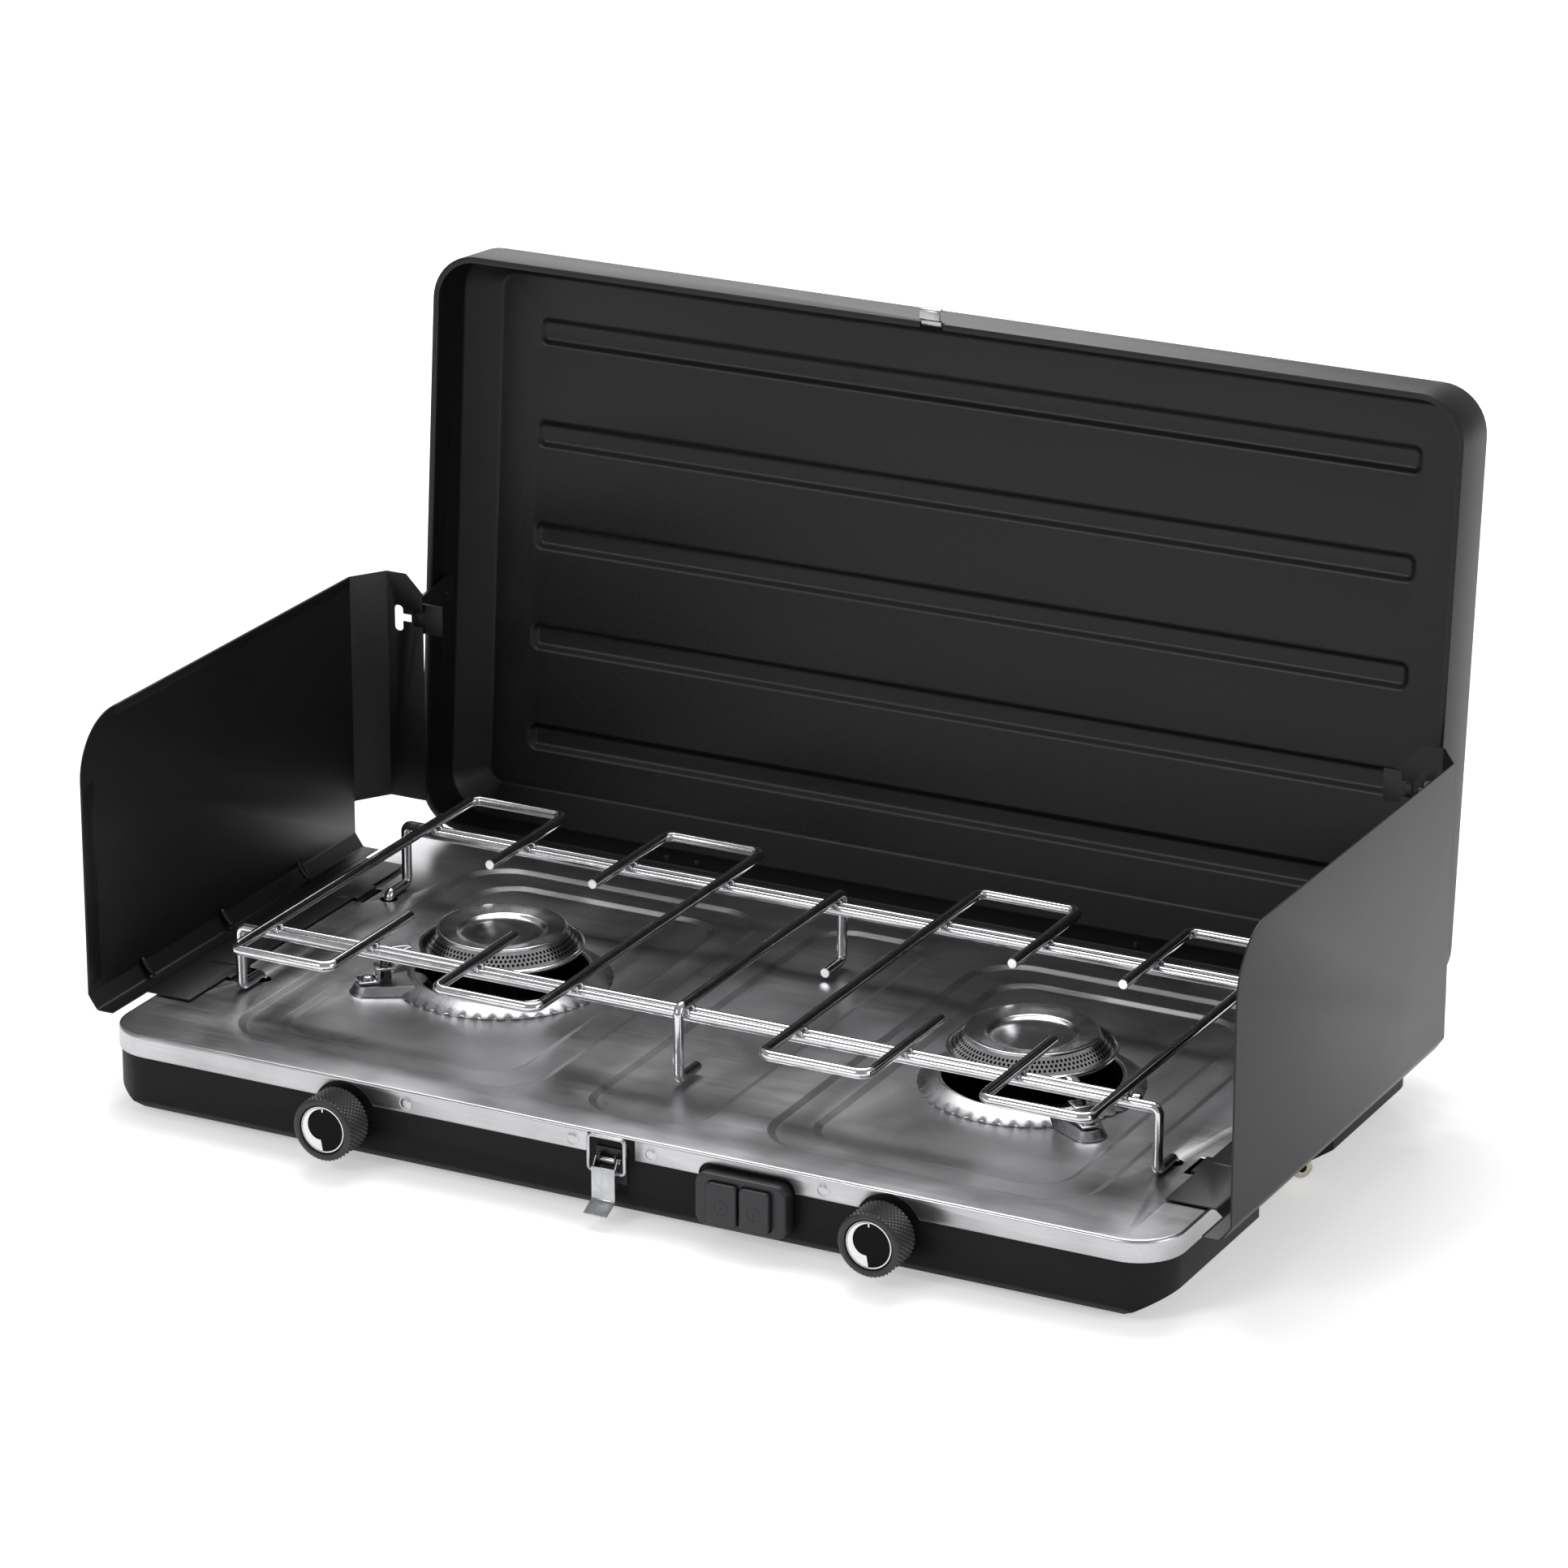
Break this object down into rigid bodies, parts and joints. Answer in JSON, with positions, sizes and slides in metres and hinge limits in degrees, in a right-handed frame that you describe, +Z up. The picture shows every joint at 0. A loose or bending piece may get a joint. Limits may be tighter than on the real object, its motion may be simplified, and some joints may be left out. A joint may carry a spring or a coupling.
{
  "type": "camp stove",
  "caption": "Folding gas camp stove: steel case with hinged lid, side windscreens, wire pot support, twin round burners, control knobs, igniter and front latch.",
  "frame": {"origin": "on the table, under the middle of the case, at the bottom of the rubber feet", "axes": "+X to the cook's right, +Y to the hinges at the back, +Z up"},
  "size_m": [0.5608, 0.368, 0.3276],
  "materials": {
    "black_fittings": "black coated steel fittings",
    "black_painted_steel": "satin black powder coat",
    "black_plastic": "moulded black plastic",
    "brass": "machined brass",
    "brushed_stainless": "brushed stainless sheet",
    "chromed_wire": "bright chromed wire",
    "dark_grey_plastic": "moulded dark grey plastic",
    "dial_print": "white dial mark on black",
    "glazed_ceramic": "dark glazed ceramic",
    "plain_steel": "plain pressed steel, darkened",
    "polished_stainless": "bright pressed stainless",
    "rubber": "black rubber",
    "zinc_plated_steel": "bright plated steel"
  },
  "bodies": {
    "case": {"base_case": "black_painted_steel", "burner_collar_left": "polished_stainless", "burner_collar_right": "polished_stainless", "burner_disc_left": "polished_stainless", "burner_disc_right": "polished_stainless", "burner_head_left": "polished_stainless", "burner_head_right": "polished_stainless", "burner_pot_left": "plain_steel", "burner_pot_right": "plain_steel", "case_feet": "rubber", "case_hinge_leaves": "black_fittings", "ear_screws": "zinc_plated_steel", "electrode_bracket_left": "polished_stainless", "electrode_bracket_right": "polished_stainless", "electrode_left": "glazed_ceramic", "electrode_right": "glazed_ceramic", "flange_rivets": "brushed_stainless", "gas_inlet": "brass", "gas_jets": "brass", "gas_manifold": "brass", "gas_valve_left": "brass", "gas_valve_right": "brass", "hinge_pins": "black_fittings", "igniter_bezel": "dark_grey_plastic", "latch_bracket": "zinc_plated_steel", "latch_pin": "zinc_plated_steel", "mixer_tube_left": "plain_steel", "mixer_tube_right": "plain_steel", "piezo_units": "black_plastic", "spark_tip_left": "zinc_plated_steel", "spark_tip_right": "zinc_plated_steel", "top_plate": "brushed_stainless"},
    "lid": {"lid_shell": "black_painted_steel", "lid_catch": "zinc_plated_steel", "lid_rivets": "black_fittings", "lid_hinge_leaves": "black_fittings", "lid_clip_left": "black_fittings", "lid_clip_right": "black_fittings"},
    "pot_support": {"centre_wire": "chromed_wire", "cross_wire_a": "chromed_wire", "cross_wire_b": "chromed_wire", "cross_wire_c": "chromed_wire", "cross_wire_d": "chromed_wire", "doubling_rods": "chromed_wire", "leg_rail_front": "chromed_wire", "leg_rail_rear": "chromed_wire"},
    "windscreen_left": {"windscreen_left": "black_painted_steel"},
    "windscreen_right": {"windscreen_right": "black_painted_steel"},
    "latch_lever": {"latch_lever": "zinc_plated_steel"},
    "latch_bail": {"latch_bail": "zinc_plated_steel"},
    "knob_left": {"knob_left": "dark_grey_plastic", "knob_dial_left": "dial_print", "valve_stem_left": "zinc_plated_steel"},
    "igniter_button_left": {"igniter_button_left": "dark_grey_plastic"},
    "knob_right": {"knob_right": "dark_grey_plastic", "knob_dial_right": "dial_print", "valve_stem_right": "zinc_plated_steel"},
    "igniter_button_right": {"igniter_button_right": "dark_grey_plastic"}
  },
  "joints": [
    {"name": "lid_hinge", "type": "hinge", "parent": "case", "child": "lid", "pos_m": [0, 0.1426, 0.0392], "axis": [1, 0, 0], "range_deg": [-12, 0]},
    {"name": "windscreen_left_fold", "type": "hinge", "parent": "case", "child": "windscreen_left", "pos_m": [-0.2385, 0, 0.0369], "axis": [0, 1, 0], "range_deg": [0, 90]},
    {"name": "windscreen_right_fold", "type": "hinge", "parent": "case", "child": "windscreen_right", "pos_m": [0.2385, 0, 0.0369], "axis": [0, -1, 0], "range_deg": [0, 90]},
    {"name": "pot_support_lift", "type": "slide", "parent": "case", "child": "pot_support", "axis": [0, 0, 1], "range_m": [0, 0.06]},
    {"name": "latch_lever_swing", "type": "hinge", "parent": "case", "child": "latch_lever", "pos_m": [0, -0.1426, 0.0275], "axis": [-1, 0, 0], "range_deg": [0, 110]},
    {"name": "latch_bail_swing", "type": "hinge", "parent": "latch_lever", "child": "latch_bail", "pos_m": [0, -0.1443, 0.0226], "axis": [1, 0, 0], "range_deg": [0, 110]},
    {"name": "knob_left_turn", "type": "hinge", "parent": "case", "child": "knob_left", "pos_m": [-0.1332, -0.15, 0.0215], "axis": [0, 1, 0], "range_deg": [0, 270]},
    {"name": "knob_right_turn", "type": "hinge", "parent": "case", "child": "knob_right", "pos_m": [0.1332, -0.15, 0.0215], "axis": [0, 1, 0], "range_deg": [0, 270]},
    {"name": "igniter_button_left_press", "type": "slide", "parent": "case", "child": "igniter_button_left", "axis": [0, 1, 0], "range_m": [0, 0.003], "stiffness_N_per_m": 800, "springref_m": -0.002},
    {"name": "igniter_button_right_press", "type": "slide", "parent": "case", "child": "igniter_button_right", "axis": [0, 1, 0], "range_m": [0, 0.003], "stiffness_N_per_m": 800, "springref_m": -0.002}
  ],
  "couplings": [
    {"joint": "latch_bail_swing", "follows": "latch_lever_swing", "ratio": 1}
  ]
}
